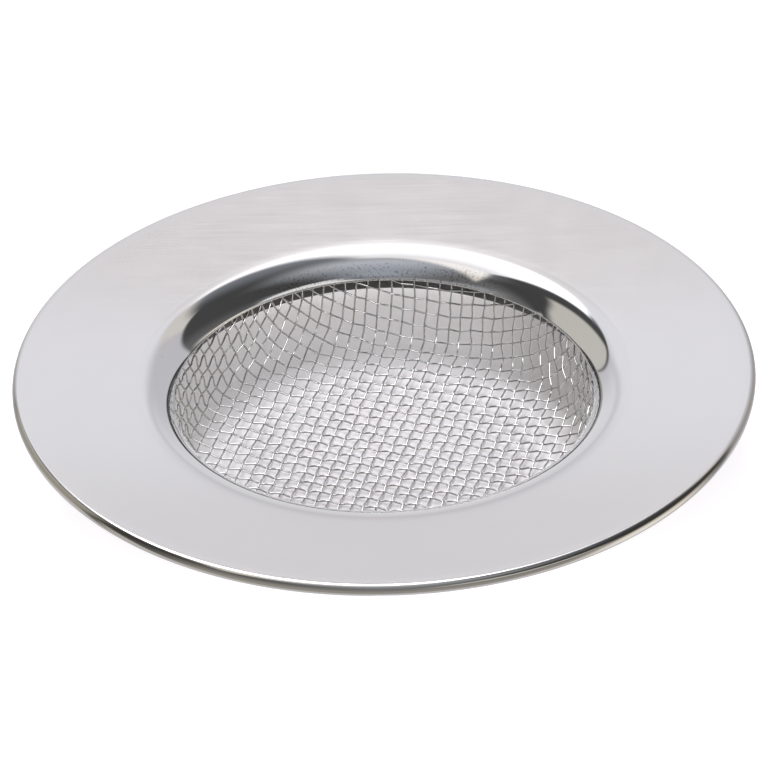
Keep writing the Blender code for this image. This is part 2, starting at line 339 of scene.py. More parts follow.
def cup_normal(s, turn):
    """The direction square to the cup there, pointing into it: the profile's slope turned a quarter."""
    before, after = s - SLOPE_STEP, s + SLOPE_STEP
    dr = np.interp(after, cup_s, cup_r) - np.interp(before, cup_s, cup_r)
    dz = np.interp(after, cup_s, cup_z) - np.interp(before, cup_s, cup_z)
    dr = np.where(s < SLOPE_STEP, 2 * SLOPE_STEP, dr)
    size = np.hypot(dr, dz)
    return np.stack([-dz / size * np.cos(turn), -dz / size * np.sin(turn), dr / size], axis=-1)


print("cup profile", round(cup_top * 1000, 2), "mm from the middle to the top")

# %% [markdown]
# The next cell is the fishing net itself. A crossing has two unknowns, the distance up the cup and the
# turn about its axis, and two conditions, the squared distances to its two neighbours. From a first
# guess we see by how much the conditions are missed, and how fast each changes with each unknown, and
# take the step that would cure both if they were straight lines. A few such steps find the crossing.
# The other three quarters mirror this one, and the whole net is turned to how the cloth lay in the press.

# %% Lay a quarter of the net
WARP_PITCH = 0.00125
WEAVE_TURN = math.radians(-16)
SMALL_STEP = 0.00001
SOLVING_STEPS = 40
LARGEST_MISS = 0.01
SPARE_CROSSINGS = 3


def lay_quarter(count):
    """(s, turn) of crossings (i, j), where i counts along one middle wire and j along the other.

    |P(i,j) - P(i-1,j)| = WARP_PITCH and |P(i,j) - P(i,j-1)| = WEFT_PITCH, with P on the cup.
    """
    s, turn = np.zeros((count, count)), np.zeros((count, count))
    s[:, 0], s[0, :] = np.arange(count) * WARP_PITCH, np.arange(count) * WEFT_PITCH
    turn[0, 1:] = quarter
    for diagonal in range(2, 2 * count - 1):
        i = np.arange(max(1, diagonal - count + 1), min(count, diagonal))
        j = diagonal - i
        beside, below = on_cup(s[i - 1, j], turn[i - 1, j]), on_cup(s[i, j - 1], turn[i, j - 1])
        start_s = s[i - 1, j] + s[i, j - 1] - s[i - 1, j - 1]
        start_turn = (turn[i - 1, j] + turn[i, j - 1]) / 2
        here_s, here_turn = start_s.copy(), start_turn.copy()
        for _ in range(SOLVING_STEPS):
            here = on_cup(here_s, here_turn)
            up = (on_cup(here_s + SMALL_STEP, here_turn) - here) / SMALL_STEP
            about = np.stack([-here[:, 1], here[:, 0], 0 * here_s], axis=-1)
            miss_i = ((here - beside) ** 2).sum(1) - WARP_PITCH**2
            miss_j = ((here - below) ** 2).sum(1) - WEFT_PITCH**2
            a, b = 2 * ((here - beside) * up).sum(1), 2 * ((here - beside) * about).sum(1)
            c, d = 2 * ((here - below) * up).sum(1), 2 * ((here - below) * about).sum(1)
            area = np.where(a * d == b * c, 1, a * d - b * c)
            step_s, step_turn = (d * miss_i - b * miss_j) / area, (a * miss_j - c * miss_i) / area
            damp = WARP_PITCH / 2 / np.maximum(np.abs(step_s), WARP_PITCH / 2)
            here_s, here_turn = here_s - damp * step_s, here_turn - damp * step_turn
        missed = np.abs(miss_i) + np.abs(miss_j) > LARGEST_MISS * WARP_PITCH**2
        lost = missed | (here_s < start_s - WARP_PITCH)
        s[i, j], turn[i, j] = np.where(lost, start_s, here_s), np.where(lost, start_turn, here_turn)
    return s, turn


half_count = int(cup_top / min(WARP_PITCH, WEFT_PITCH)) + SPARE_CROSSINGS
quarter_s, quarter_turn = lay_quarter(half_count)
step_number = np.arange(1 - half_count, half_count)
sign = np.where(step_number < 0, -1, 1)
near_i, near_j = np.meshgrid(np.abs(step_number), np.abs(step_number), indexing="ij")
net_s = quarter_s[near_i, near_j]
net_turn = np.arctan2(
    np.sin(quarter_turn[near_i, near_j]) * sign[None, :],
    np.cos(quarter_turn[near_i, near_j]) * sign[:, None],
) + WEAVE_TURN
print("net of", net_s.shape, "crossings,", int((net_s <= cup_top).sum()), "of them in the basket")

# %% [markdown]
# A wire passes over one neighbour and under the next, so each crossing is lifted off the cup by half a
# wire, to one side for the warp and to the other for the weft. A smooth curve through the lifted
# crossings then bends like a real crimped wire. We use a chain of cubics, which goes through its points
# and needs only four of them at a time, and carry a small ring of points along it.

# %% A smooth curve through the crossings
STATIONS = 6


def through(points):
    """Smooth curves through rows of points: STATIONS new points for each step along axis 1.

    Between its points P1 and P2 the curve is the cubic in t from 0 to 1 that starts at P1 with the slope
    (P2 - P0) / 2 and ends at P2 with the slope (P3 - P1) / 2.
    """
    last = points.shape[1]
    before, start, end, after = (points[:, k:last - 3 + k, None] for k in range(4))
    t = (np.arange(STATIONS) / STATIONS)[None, None, :, None]
    start_slope, end_slope = (end - before) / 2, (after - start) / 2
    curve = (
        (2 * t**3 - 3 * t**2 + 1) * start + (t**3 - 2 * t**2 + t) * start_slope
        + (3 * t**2 - 2 * t**3) * end + (t**3 - t**2) * end_slope
    )
    return curve.reshape(points.shape[0], -1, points.shape[2])


print("each wire has", STATIONS, "rings from one crossing to the next")

# %% [markdown]
# A wire's skin is a tube: rings of points, each joined to the next by four-sided faces. The wires all
# lie in one array, and a mask says which of their rings are inside the basket. Where the mask starts
# and stops, the wire is cut off and its end is closed with flat faces.

# %% Tubes along the wires
WIRE_DIAMETER = 0.00020
CROSSING_GAP = 0.00001
SIDES = 8


def woven_wires(name, s, turn, side):
    """Tubes along the rows of the net, cut off at the cup's top, with closed ends.

    Ring point k of a wire at a station is its centre plus the radius times (cos a_k * up + sin a_k *
    across), where up is the cup's normal there and across is square to the wire.
    """
    lift = (WIRE_DIAMETER + CROSSING_GAP) / 2
    normal = cup_normal(s, turn)
    centre = through(on_cup(s, turn) + normal * (side * lift)[:, :, None])
    up = through(normal)
    height = through(s[:, :, None])[:, :, 0]
    ahead = np.gradient(centre, axis=1)
    ahead /= np.linalg.norm(ahead, axis=2)[:, :, None]
    across = np.cross(ahead, up)
    across /= np.linalg.norm(across, axis=2)[:, :, None]
    up = np.cross(across, ahead)
    angle = np.arange(SIDES) * 2 * np.pi / SIDES
    ring = np.cos(angle)[:, None] * up[:, :, None] + np.sin(angle)[:, None] * across[:, :, None]
    points = centre[:, :, None] + WIRE_DIAMETER / 2 * ring
    wires, stations = height.shape

    held = height <= cup_top
    number = np.arange(points[..., 0].size).reshape(wires, stations, SIDES)
    joined = held[:, :-1] & held[:, 1:]
    here, there = number[:, :-1][joined], number[:, 1:][joined]
    after_here, after_there = np.roll(here, -1, axis=1), np.roll(there, -1, axis=1)
    walls = np.stack([here, there, after_there, after_here], axis=-1)
    start_ring = number[held & ~np.roll(held, 1, axis=1)]
    end_ring = number[held & ~np.roll(held, -1, axis=1)]
    fan = np.array([(0, k, k + 1, k + 2) for k in range(1, SIDES - 2, 2)])
    parts = (walls, start_ring[:, fan], end_ring[:, fan[:, ::-1]])
    corners = np.concatenate([part.reshape(-1, 4) for part in parts])
    used, faces = np.unique(corners, return_inverse=True)
    return mesh_piece(name, points.reshape(-1, 3)[used], faces.reshape(-1, 4))


print("a wire's ring has", SIDES, "points,", round(WIRE_DIAMETER * 1000, 2), "mm across")

# %% [markdown]
# Pressed cloth is never quite even, so each crossing is first nudged by about a twentieth of a
# millimetre, and pulls its neighbours along. Then the rows of the net become the warp and its columns
# the weft, and each wire is lifted to opposite sides by turns.

# %% Weave the warp and the weft
NUDGE = 0.00005
OWN_SHARE = 0.7
NEIGHBOUR_SHARE = 0.35


def uneven(shape, size, seed):
    """Random steps for the crossings, the same each run: shares of its own and its neighbours' steps."""
    steps = np.random.default_rng(seed).normal(0, size, shape)
    beside = np.roll(steps, 1, 0) + np.roll(steps, -1, 0) + np.roll(steps, 1, 1) + np.roll(steps, -1, 1)
    return steps * OWN_SHARE + beside * NEIGHBOUR_SHARE


laid_s = np.maximum(net_s + uneven(net_s.shape, NUDGE, seed=11), 0)
from_axis = np.maximum(np.interp(net_s, cup_s, cup_r), WARP_PITCH)
laid_turn = net_turn + uneven(net_s.shape, NUDGE, seed=12) / from_axis
weave = np.where((near_i + near_j) % 2 == 0, 1, -1)
has_wire_i = np.flatnonzero((net_s <= cup_top).sum(axis=1) > 1)
has_wire_j = np.flatnonzero((net_s <= cup_top).sum(axis=0) > 1)
warp = woven_wires("warp_wires", laid_s[has_wire_i], laid_turn[has_wire_i], weave[has_wire_i])
weft = woven_wires("weft_wires", laid_s.T[has_wire_j], laid_turn.T[has_wire_j], -weave.T[has_wire_j])

# %% [markdown]
# ## Finishes
#
# All of this object is one stainless steel, but each part of it was worked in another way. The flange was
# brushed in straight strokes, the throat and the edge were polished as they turned, and the wire was drawn
# through a die. So the colour hardly changes from piece to piece, except where shade is painted into it,
# and the roughness changes a lot. A finish is a tree of small nodes. Helpers that make and join the nodes
# let us write it like a formula.

# %% Helpers that join shader nodes
def put(tree, value, socket):
    """Sets a socket to a number or colour, or joins it to another node's output."""
    if isinstance(value, bpy.types.NodeSocket):
        tree.links.new(value, socket)
    else:
        socket.default_value = value


def maths(tree, operation, *values):
    """One step of arithmetic on numbers or outputs, such as SUBTRACT: first - second."""
    node = tree.nodes.new("ShaderNodeMath")
    node.operation = operation
    for value, socket in zip(values, node.inputs):
        put(tree, value, socket)
    return node.outputs[0]


def total(tree, *values):
    """The sum of the values."""
    result = values[0]
    for value in values[1:]:
        result = maths(tree, "ADD", result, value)
    return result


def product(tree, *values):
    """The product of the values. For masks it is 1 only where all of them are 1."""
    result = values[0]
    for value in values[1:]:
        result = maths(tree, "MULTIPLY", result, value)
    return result


def rising(tree, value, low, high):
    """0 below low, 1 above high and a smooth rise between. With high below low it falls instead."""
    node = tree.nodes.new("ShaderNodeMapRange")
    node.interpolation_type = "SMOOTHSTEP"
    put(tree, value, node.inputs["Value"])
    node.inputs["From Min"].default_value = low
    node.inputs["From Max"].default_value = high
    return node.outputs["Result"]


def span(tree, value, low, high):
    """A value that runs from 0 to 1, stretched to run from low to high."""
    node = tree.nodes.new("ShaderNodeMapRange")
    put(tree, value, node.inputs["Value"])
    node.inputs["To Min"].default_value = low
    node.inputs["To Max"].default_value = high
    return node.outputs["Result"]


def mixed(tree, factor, first, second):
    """The first colour where the factor is 0 and the second where it is 1."""
    node = tree.nodes.new("ShaderNodeMix")
    node.data_type = "RGBA"
    put(tree, factor, node.inputs[0])
    put(tree, first, node.inputs[6])
    put(tree, second, node.inputs[7])
    return node.outputs[2]


def grey(level):
    """An opaque grey."""
    return (level, level, level, 1)


print("helpers: put, maths, total, product, rising, span, mixed, grey")

# %% [markdown]
# Two shader groups hold the marks that several finishes share. The first stretches a noise much more one
# way than the other, as a belt, a wheel or a die leaves its strokes, and adds wide soft patches. The
# second gives smudges from handling and small specks. A painted picture could do this too, but noise
# computed from the place on the object has no seams and any resolution. The groups give only values, and
# each finish decides how much they count.

# %% Two groups of marks
PATCHES_PER_METRE = 90
SMUDGES_PER_METRE = 260
SPECKS_PER_METRE = 1900
SPECK_EDGE = (0.70, 0.80)


def new_group(name, inputs, outputs):
    """An empty shader group with float or vector inputs and float outputs."""
    group = bpy.data.node_groups.new(name, "ShaderNodeTree")
    for label, kind in inputs:
        group.interface.new_socket(label, in_out="INPUT", socket_type=kind)
    for label in outputs:
        group.interface.new_socket(label, in_out="OUTPUT", socket_type="NodeSocketFloat")
    return group, group.nodes.new("NodeGroupInput").outputs, group.nodes.new("NodeGroupOutput").inputs


def noise(tree, vector, scale, detail, roughness=0.5):
    """A soft random value from 0 to 1 at scale times the vector, with finer layers for detail."""
    node = tree.nodes.new("ShaderNodeTexNoise")
    put(tree, vector, node.inputs["Vector"])
    put(tree, scale, node.inputs["Scale"])
    put(tree, detail, node.inputs["Detail"])
    put(tree, roughness, node.inputs["Roughness"])
    return node.outputs["Fac"]


strokes, given, result = new_group(
    "polishing_strokes",
    [("Place", "NodeSocketVector"), ("Along", "NodeSocketFloat"), ("Across", "NodeSocketFloat")],
    ["Lines", "Patches"],
)
stretch = strokes.nodes.new("ShaderNodeCombineXYZ")
for socket, source in zip(stretch.inputs, ("Along", "Across", "Across")):
    put(strokes, given[source], socket)
stretched = strokes.nodes.new("ShaderNodeVectorMath")
stretched.operation = "MULTIPLY"
put(strokes, given["Place"], stretched.inputs[0])
put(strokes, stretch.outputs[0], stretched.inputs[1])
put(strokes, noise(strokes, stretched.outputs[0], 1, detail=5, roughness=0.7), result["Lines"])
put(strokes, noise(strokes, given["Place"], PATCHES_PER_METRE, detail=2), result["Patches"])

handling, given, result = new_group(
    "handling_marks",
    [("Place", "NodeSocketVector")],
    ["Smudges", "Specks"],
)
smudges = noise(handling, given["Place"], SMUDGES_PER_METRE, detail=4, roughness=0.6)
put(handling, smudges, result["Smudges"])
fine_specks = noise(handling, given["Place"], SPECKS_PER_METRE, detail=2)
put(handling, rising(handling, fine_specks, *SPECK_EDGE), result["Specks"])
print("groups:", strokes.name, "and", handling.name)

# %% [markdown]
# Every finish here starts in the same way: a metal shader, the place on the object that the marks are
# computed from, and, at the end, a bump as deep as the strokes really are, a few thousandths of a
# millimetre.

# %% Helpers that start a steel
def steel(name):
    """A new metal, with its node tree and the sockets of its shader."""
    material = bpy.data.materials.new(name)
    material.use_nodes = True
    sockets = material.node_tree.nodes["Principled BSDF"].inputs
    sockets["Metallic"].default_value = 1
    return material, material.node_tree, sockets


def object_place(tree):
    """The place on the object in metres, x, y and z as modelled."""
    return tree.nodes.new("ShaderNodeTexCoord").outputs["Object"]


def place_group(tree, group, **values):
    """The outputs of a group put into a material, with its inputs set or joined."""
    node = tree.nodes.new("ShaderNodeGroup")
    node.node_tree = group
    for label, value in values.items():
        put(tree, value, node.inputs[label])
    return node.outputs


def bump(tree, height, distance):
    """The normal of a surface raised by height times distance metres."""
    node = tree.nodes.new("ShaderNodeBump")
    put(tree, height, node.inputs["Height"])
    node.inputs["Distance"].default_value = distance
    return node.outputs["Normal"]


print("helpers: steel, object_place, place_group, bump")

# %% [markdown]
# The rim is one sheet with two finishes. A belt has brushed the flange in straight strokes. A wheel has
# polished the throat, the shoulder and the rolled edge while the rim turned under it. The distance from
# the axis tells the two apart, so one material serves both, with a soft change between them. Each pair
# of lengths below says where such a change starts and where it is complete.

# %% Where the rim is brushed
FLANGE_STARTS = (0.0245, 0.0252)
FLANGE_ENDS = (0.0368, 0.0362)

satin, tree, shader = steel("satin_steel")
place = object_place(tree)
axes = tree.nodes.new("ShaderNodeSeparateXYZ")
put(tree, place, axes.inputs[0])
x, y, z = axes.outputs
radius = maths(tree, "SQRT", total(tree, product(tree, x, x), product(tree, y, y)))
brushed = product(tree, rising(tree, radius, *FLANGE_STARTS), rising(tree, radius, *FLANGE_ENDS))
polished = maths(tree, "SUBTRACT", 1.0, brushed)
print("brushed from", FLANGE_STARTS[0] * 1000, "to", FLANGE_ENDS[0] * 1000, "mm from the axis")

# %% [markdown]
# The belt's strokes run along X. The wheel's run round the axis, so their noise is read at the turn, the
# height and the distance from the axis instead of at x, y and z. The brushed face is rougher and blurs
# the room to an even grey, and the polished parts are a mirror, a little duller towards the edge.

# %% The rim's strokes and roughness
BELT_STROKES = {"Along": 60.0, "Across": 4200.0}
WHEEL_STROKES = {"Along": 0.0, "Across": 9000.0}
WHEEL_DEPTH_SHARE = 0.25
RIM_STROKE_DEPTH = 0.0000015
BRUSHED_ROUGHNESS = (0.12, 0.23)
BRUSHED_SMUDGES = (-0.02, 0.02)
POLISHED_ROUGHNESS = (0.03, 0.09)
EDGE_DULLS = (0.0354, 0.0364)
EDGE_ROUGHER_BY = 0.09

turned_place = tree.nodes.new("ShaderNodeCombineXYZ")
for socket, value in zip(turned_place.inputs, (maths(tree, "ARCTAN2", y, x), z, radius)):
    put(tree, value, socket)
straight = place_group(tree, strokes, Place=place, **BELT_STROKES)
circular = place_group(tree, strokes, Place=turned_place.outputs[0], **WHEEL_STROKES)
marks = place_group(tree, handling, Place=place)

lines = total(
    tree,
    product(tree, straight["Lines"], brushed),
    product(tree, circular["Lines"], WHEEL_DEPTH_SHARE, polished),
)
brushed_roughness = total(
    tree,
    span(tree, straight["Lines"], *BRUSHED_ROUGHNESS),
    span(tree, marks["Smudges"], *BRUSHED_SMUDGES),
)
polished_roughness = total(
    tree,
    span(tree, marks["Smudges"], *POLISHED_ROUGHNESS),
    product(tree, rising(tree, radius, *EDGE_DULLS), EDGE_ROUGHER_BY),
)
roughness = total(
    tree,
    product(tree, brushed_roughness, brushed),
    product(tree, polished_roughness, polished),
)
put(tree, roughness, shader["Roughness"])
put(tree, bump(tree, lines, RIM_STROKE_DEPTH), shader["Normal"])
print("the rim's steel has", len(tree.nodes), "nodes so far")

# %% [markdown]
# The tint drifts a little between warm and cool patches and has a few dark specks. At the front and the
# back the flange is painted a little darker and warmer, a painted shade that dims the room it mirrors
# there. Beside the lip, where it was stretched most, one side is finely pitted, and the upper side of the
# roll is painted darker and browner, a painted shade that dims the bands it mirrors.

# %% The rim's tint
FRONT_BACK_SHADE = (0.006, 0.026)
LIP_PITTED = (0.0229, 0.0217)
PITTED_SIDE = (0.0165, 0.0205)
PITS_PER_METRE = 4200
PIT_EDGE = (0.57, 0.64)
PIT_STRENGTH = 0.6
SPECK_STRENGTH = 0.25
ROLL_STARTS = (0.0370, 0.0373)
ROLL_UPPER_SIDE = (RIM_TOP - 0.00055, RIM_TOP - 0.00035)

tint = mixed(tree, straight["Patches"], (0.645, 0.635, 0.635, 1), (0.635, 0.635, 0.65, 1))
tint = mixed(tree, product(tree, marks["Specks"], SPECK_STRENGTH), tint, (0.40, 0.39, 0.38, 1))
# painted shade: the flange's front and back are painted darker and warmer than its sides
front_back_shade = rising(tree, maths(tree, "ABSOLUTE", y), *FRONT_BACK_SHADE)
tint = mixed(tree, front_back_shade, tint, (0.600, 0.588, 0.586, 1))
pitted = product(tree, rising(tree, radius, *LIP_PITTED), rising(tree, y, *PITTED_SIDE))
pits = rising(tree, noise(tree, place, PITS_PER_METRE, detail=2), *PIT_EDGE)
pits = product(tree, pitted, pits)
tint = mixed(tree, product(tree, pits, PIT_STRENGTH), tint, (0.20, 0.20, 0.21, 1))
# painted shade: the upper side of the roll is painted darker and browner, which dims what it mirrors
painted_roll_shade = product(tree, rising(tree, radius, *ROLL_STARTS), rising(tree, z, *ROLL_UPPER_SIDE))
tint = mixed(tree, painted_roll_shade, tint, (0.38, 0.36, 0.325, 1))
put(tree, tint, shader["Base Color"])
rim.data.materials.append(satin)
print("the rim's steel has", len(tree.nodes), "nodes")

# %% [markdown]
# The collar hardly shows, so it would leave the press unpolished: dull, grey, and marked by the tool. It
# takes the same two groups with more roughness. Its colour is painted nearly black, a painted shade for
# the deep shade under the shoulder.

# %% The collar's steel
TOOL_STROKES = {"Along": 300.0, "Across": 5000.0}
COLLAR_STROKE_DEPTH = 0.000002
COLLAR_ROUGHNESS = (0.28, 0.46)

dull, tree, shader = steel("collar_steel")
place = object_place(tree)
marks = place_group(tree, handling, Place=place)
pressed = place_group(tree, strokes, Place=place, **TOOL_STROKES)
# painted shade: the collar's colour is painted nearly black, for the shade under the shoulder
tint = mixed(tree, marks["Smudges"], (0.10, 0.10, 0.105, 1), (0.15, 0.147, 0.143, 1))
put(tree, tint, shader["Base Color"])
put(tree, span(tree, marks["Smudges"], *COLLAR_ROUGHNESS), shader["Roughness"])
put(tree, bump(tree, pressed["Lines"], COLLAR_STROKE_DEPTH), shader["Normal"])
collar.data.materials.append(dull)
print("the collar's steel has", len(tree.nodes), "nodes")

# %% [markdown]
# The wire was drawn through a die and is bright, with fine marks on its skin and a few warm specks left
# from the furnace. Each wire is a thin round mirror, so most of it is dark and a thin line of it is white.

# %% The wire's steel
DIE_STROKES = {"Along": 900.0, "Across": 900.0}
WIRE_STROKE_DEPTH = 0.000003
WIRE_ROUGHNESS = (0.03, 0.15)
WARM_SPECK_STRENGTH = 0.35

bright, tree, shader = steel("wire_steel")
place = object_place(tree)
marks = place_group(tree, handling, Place=place)
drawn = place_group(tree, strokes, Place=place, **DIE_STROKES)
tint = mixed(tree, marks["Smudges"], (0.50, 0.49, 0.48, 1), (0.61, 0.61, 0.62, 1))
tint = mixed(tree, product(tree, marks["Specks"], WARM_SPECK_STRENGTH), tint, (0.55, 0.50, 0.42, 1))
put(tree, tint, shader["Base Color"])
put(tree, span(tree, drawn["Lines"], *WIRE_ROUGHNESS), shader["Roughness"])
put(tree, bump(tree, drawn["Lines"], WIRE_STROKE_DEPTH), shader["Normal"])
warp.data.materials.append(bright)
weft.data.materials.append(bright)
print("the wire's steel has", len(tree.nodes), "nodes")

# %% [markdown]
# ## Dressing the model
#
# Each piece now takes the place of the plain solids that it shows, and rides on the body that they belong
# to. All the wires of one direction are one piece, because they are one material and never move apart.

# %% Dress the frame
warp_nodes = [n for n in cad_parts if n.startswith("warp_wire")]
weft_nodes = [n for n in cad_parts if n.startswith("weft_wire")]
for piece, nodes, slot in (
    (rim, ["rim_flange"], "satin_steel"),
    (collar, ["clamp_collar"], "collar_steel"),
    (warp, warp_nodes, "wire_steel"),
    (weft, weft_nodes, "wire_steel"),
):
    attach(piece, "root")
    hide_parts(*nodes)
    print(piece.name, "stands for", len(nodes), "solids")

# %% [markdown]
# ## The table
#
# The object stands on a pale table, a plain square that reflections don't see, because the steel is to
# show the studio and not the table.

# %% A pale table
TABLE_SIDE = 3.0

half_side = TABLE_SIDE / 2
corners = [(sx * half_side, sy * half_side, 0) for sx, sy in ((-1, -1), (1, -1), (1, 1), (-1, 1))]
table_mesh = bpy.data.meshes.new("table")
table_mesh.from_pydata(corners, [], [(0, 1, 2, 3)])
table = bpy.data.objects.new("table", table_mesh)
bpy.context.scene.collection.objects.link(table)
table.visible_glossy = False
print("table", TABLE_SIDE, "m across")

# %% [markdown]
# Like a product table lit from below, this one glows a little, but its glow is painted light: it glows
# most outside the object, so the shadow that falls there is only a very light grey. It glows little under
# the basket's floor, and hardly at all under its wall, where the gaps of the cloth are darker in the
# photograph, most of all on the right. There the table's colour is painted darker as well, a painted
# shade.

# %% The table's painted glow and shade
SHADE_MIDDLE_Y = 0.0132
SHADE_ENDS = (0.026, 0.034)
BASKET_WALL = (0.0165, 0.0205)
RIGHT_SIDE = (0.008, 0.018)

pale = bpy.data.materials.new("pale_table")
pale.use_nodes = True
tree = pale.node_tree
shader = tree.nodes["Principled BSDF"].inputs
shader["Roughness"].default_value = 0.9
shader["Specular IOR Level"].default_value = 0.1
axes = tree.nodes.new("ShaderNodeSeparateXYZ")
put(tree, object_place(tree), axes.inputs[0])
x, y, z = axes.outputs


def distance_from(middle_y):
    """How far a place on the table is from (0, middle_y)."""
    along = maths(tree, "SUBTRACT", y, middle_y)
    return maths(tree, "SQRT", total(tree, product(tree, x, x), product(tree, along, along)))


from_shade_middle = distance_from(SHADE_MIDDLE_Y)
outside = rising(tree, from_shade_middle, *SHADE_ENDS)
inside = rising(tree, from_shade_middle, *reversed(SHADE_ENDS))
under_wall = rising(tree, distance_from(0), *BASKET_WALL)
wall_shade = product(tree, under_wall, rising(tree, x, *RIGHT_SIDE), inside)
# painted shade: the table's colour is darker under the basket's wall on the right
put(tree, mixed(tree, wall_shade, (0.86, 0.84, 0.855, 1), (0.62, 0.60, 0.60, 1)), shader["Base Color"])
# painted light: the glow is bright outside the object, to lighten its shadow there, and dim under it
glow = mixed(tree, under_wall, (0.125, 0.113, 0.120, 1), (0.02, 0.016, 0.014, 1))
glow = mixed(tree, outside, glow, (0.36, 0.355, 0.36, 1))
put(tree, glow, shader["Emission Color"])
shader["Emission Strength"].default_value = 1
pale.cycles.emission_sampling = "NONE"
table_mesh.materials.append(pale)
print("the table's material has", len(tree.nodes), "nodes")

# %% [markdown]
# A wide, low lamp in front fills the shade on the table. Reflections don't see it either, so it can be
# as large as it needs to be without a bright stripe on the rim. A second, smaller lamp stands in front and
# above, where a photographer puts a reflector to make wire sparkle. It lights the two layers of wires and
# nothing else, which light linking allows, and so the wires of the basket's wall get their white glints.

# %% Lamps for the table and for the wires
def soft_lamp(name, place, width, depth, energy):
    """A rectangular lamp at a place, turned to the object. Lengths are in metres and energy in watts."""
    light = bpy.data.lights.new(name, "AREA")
    light.shape = "RECTANGLE"
    light.size, light.size_y = width, depth
    light.energy = energy
    lamp = bpy.data.objects.new(name, light)
    facing = (-Vector(place)).to_track_quat("-Z", "Y").to_matrix().to_4x4()
    lamp.matrix_world = Matrix.Translation(place) @ facing
    bpy.context.scene.collection.objects.link(lamp)
    print(name, energy, "W")
    return lamp


fill_lamp = soft_lamp("front_fill", (0, -0.62, 0.20), width=1.4, depth=0.30, energy=11)
fill_lamp.visible_glossy = False

wires_only = bpy.data.collections.new("wires_only")
wires_only.objects.link(warp)
wires_only.objects.link(weft)
glint_lamp = soft_lamp("wire_glint", (0.17, -0.62, 0.77), width=0.6, depth=0.25, energy=3.4)
glint_lamp.light_linking.receiver_collection = wires_only

# %% [markdown]
# ## The studio
#
# Polished steel has no look of its own: it shows the room. So the light here is a room, written as a
# function of direction, one soft shape on another. A direction (x, y, z) is also read as a place on a
# flat ceiling at height 1, which is (x / z, y / z). A straight lamp on the ceiling then has straight edges
# in that place, and a straight edge of any board is a plane a x + b y + c z = 0 through the object. Each
# edge is soft: it has a place where it starts and one where it ends. Elevations and azimuths are in
# degrees, and azimuth 0 is to the right, 90 behind and -90 in front.

# %% Ways to read a direction
LOWEST_HEIGHT = 0.05

studio = bpy.data.worlds.new("studio")
bpy.context.scene.world = studio
studio.use_nodes = True
sky = studio.node_tree
axes = sky.nodes.new("ShaderNodeSeparateXYZ")
put(sky, sky.nodes.new("ShaderNodeTexCoord").outputs["Generated"], axes.inputs[0])
x, y, z = axes.outputs
elevation = maths(sky, "DEGREES", maths(sky, "ARCSINE", z))
azimuth = maths(sky, "DEGREES", maths(sky, "ARCTAN2", y, x))
height = maths(sky, "MAXIMUM", z, LOWEST_HEIGHT)
ceiling_x = maths(sky, "DIVIDE", x, height)
ceiling_y = maths(sky, "DIVIDE", y, height)


def both(*masks):
    """Where all the masks are 1: their product."""
    return product(sky, *masks)


def past(a, b, c, start, end):
    """A board's straight edge: 0 to 1 while a x + b y + c z goes from start to end."""
    sides = [product(sky, axis, share) for axis, share in ((x, a), (y, b), (z, c))]
    return rising(sky, total(sky, *sides), start, end)


def above(a, b, start, end):
    """A straight edge on the ceiling: 0 to 1 while a u + b v goes from start to end."""
    sides = [product(sky, axis, share) for axis, share in ((ceiling_x, a), (ceiling_y, b))]
    return rising(sky, total(sky, *sides), start, end)


def higher(start, end):
    """0 to 1 while the elevation goes from start to end."""
    return rising(sky, elevation, start, end)


def near_azimuth(degrees, far_off, close):
    """1 within `close` degrees of an azimuth and 0 past `far_off` degrees."""
    away = maths(sky, "ABSOLUTE", maths(sky, "SUBTRACT", azimuth, degrees))
    return rising(sky, away, far_off, close)


print("a direction is read as an elevation, an azimuth and a place on the ceiling")

# %% [markdown]
# The dark part comes first: black walls, a little lighter low down and to the left, a pale floor straight
# below and a blue-grey ceiling in front.

# %% Walls, floor and ceiling
room = grey(0.085)
low_wall = both(higher(34, 14), higher(-12, -2))
room = mixed(sky, low_wall, room, grey(0.17))
left_wall = both(rising(sky, x, 0.20, -0.30), past(0, 1, -0.30, 0.06, -0.10), rising(sky, z, -0.05, 0.10))
left_tone = mixed(sky, rising(sky, ceiling_y, -0.1, -0.7), grey(0.08), grey(0.20))
room = mixed(sky, left_wall, room, left_tone)
room = mixed(sky, higher(-24, -38), room, (0.50, 0.48, 0.44, 1))
room = mixed(sky, higher(-45, -60), room, (0.80, 0.78, 0.78, 1))
narrow = rising(sky, maths(sky, "ABSOLUTE", ceiling_x), 0.90, 0.05)
front_ceiling = both(above(0, 1, 0.25, -0.25), narrow, higher(22, 40))
ceiling_tone = mixed(sky, above(0, 1, -0.10, -0.80), (0.74, 0.78, 0.84, 1), (0.48, 0.52, 0.58, 1))
room = mixed(sky, front_ceiling, room, ceiling_tone)
print("the studio has", len(sky.nodes), "nodes so far")

# %% [markdown]
# Under the ceiling stands a dim reflector with one bright end, and low down stand a grey card in front
# and a warm white card to the right. These are what the rolled edge shows: it turns so far round that it
# mirrors things below the level of the table.

# %% Reflector and cards
right_card = both(higher(-58, -48), higher(15, 8), near_azimuth(-12, 40, 16))
room = mixed(sky, right_card, room, (1.25, 1.19, 1.08, 1))
reflector = both(higher(6, 10), higher(33, 24), near_azimuth(-90, 75, 53))
room = mixed(sky, reflector, room, (0.45, 0.46, 0.48, 1))
front_card = both(higher(-50, -40), higher(10, 6), near_azimuth(-90, 75, 53))
room = mixed(sky, front_card, room, (0.42, 0.40, 0.36, 1))
bright_end = both(above(-0.2, 1, -1.28, -1.48), above(1, 0, 0.35, 0.8))
bright_end = both(bright_end, higher(13, 18), rising(sky, azimuth, -20, -28))
room = mixed(sky, bright_end, room, grey(1.15))
print("the studio has", len(sky.nodes), "nodes so far")

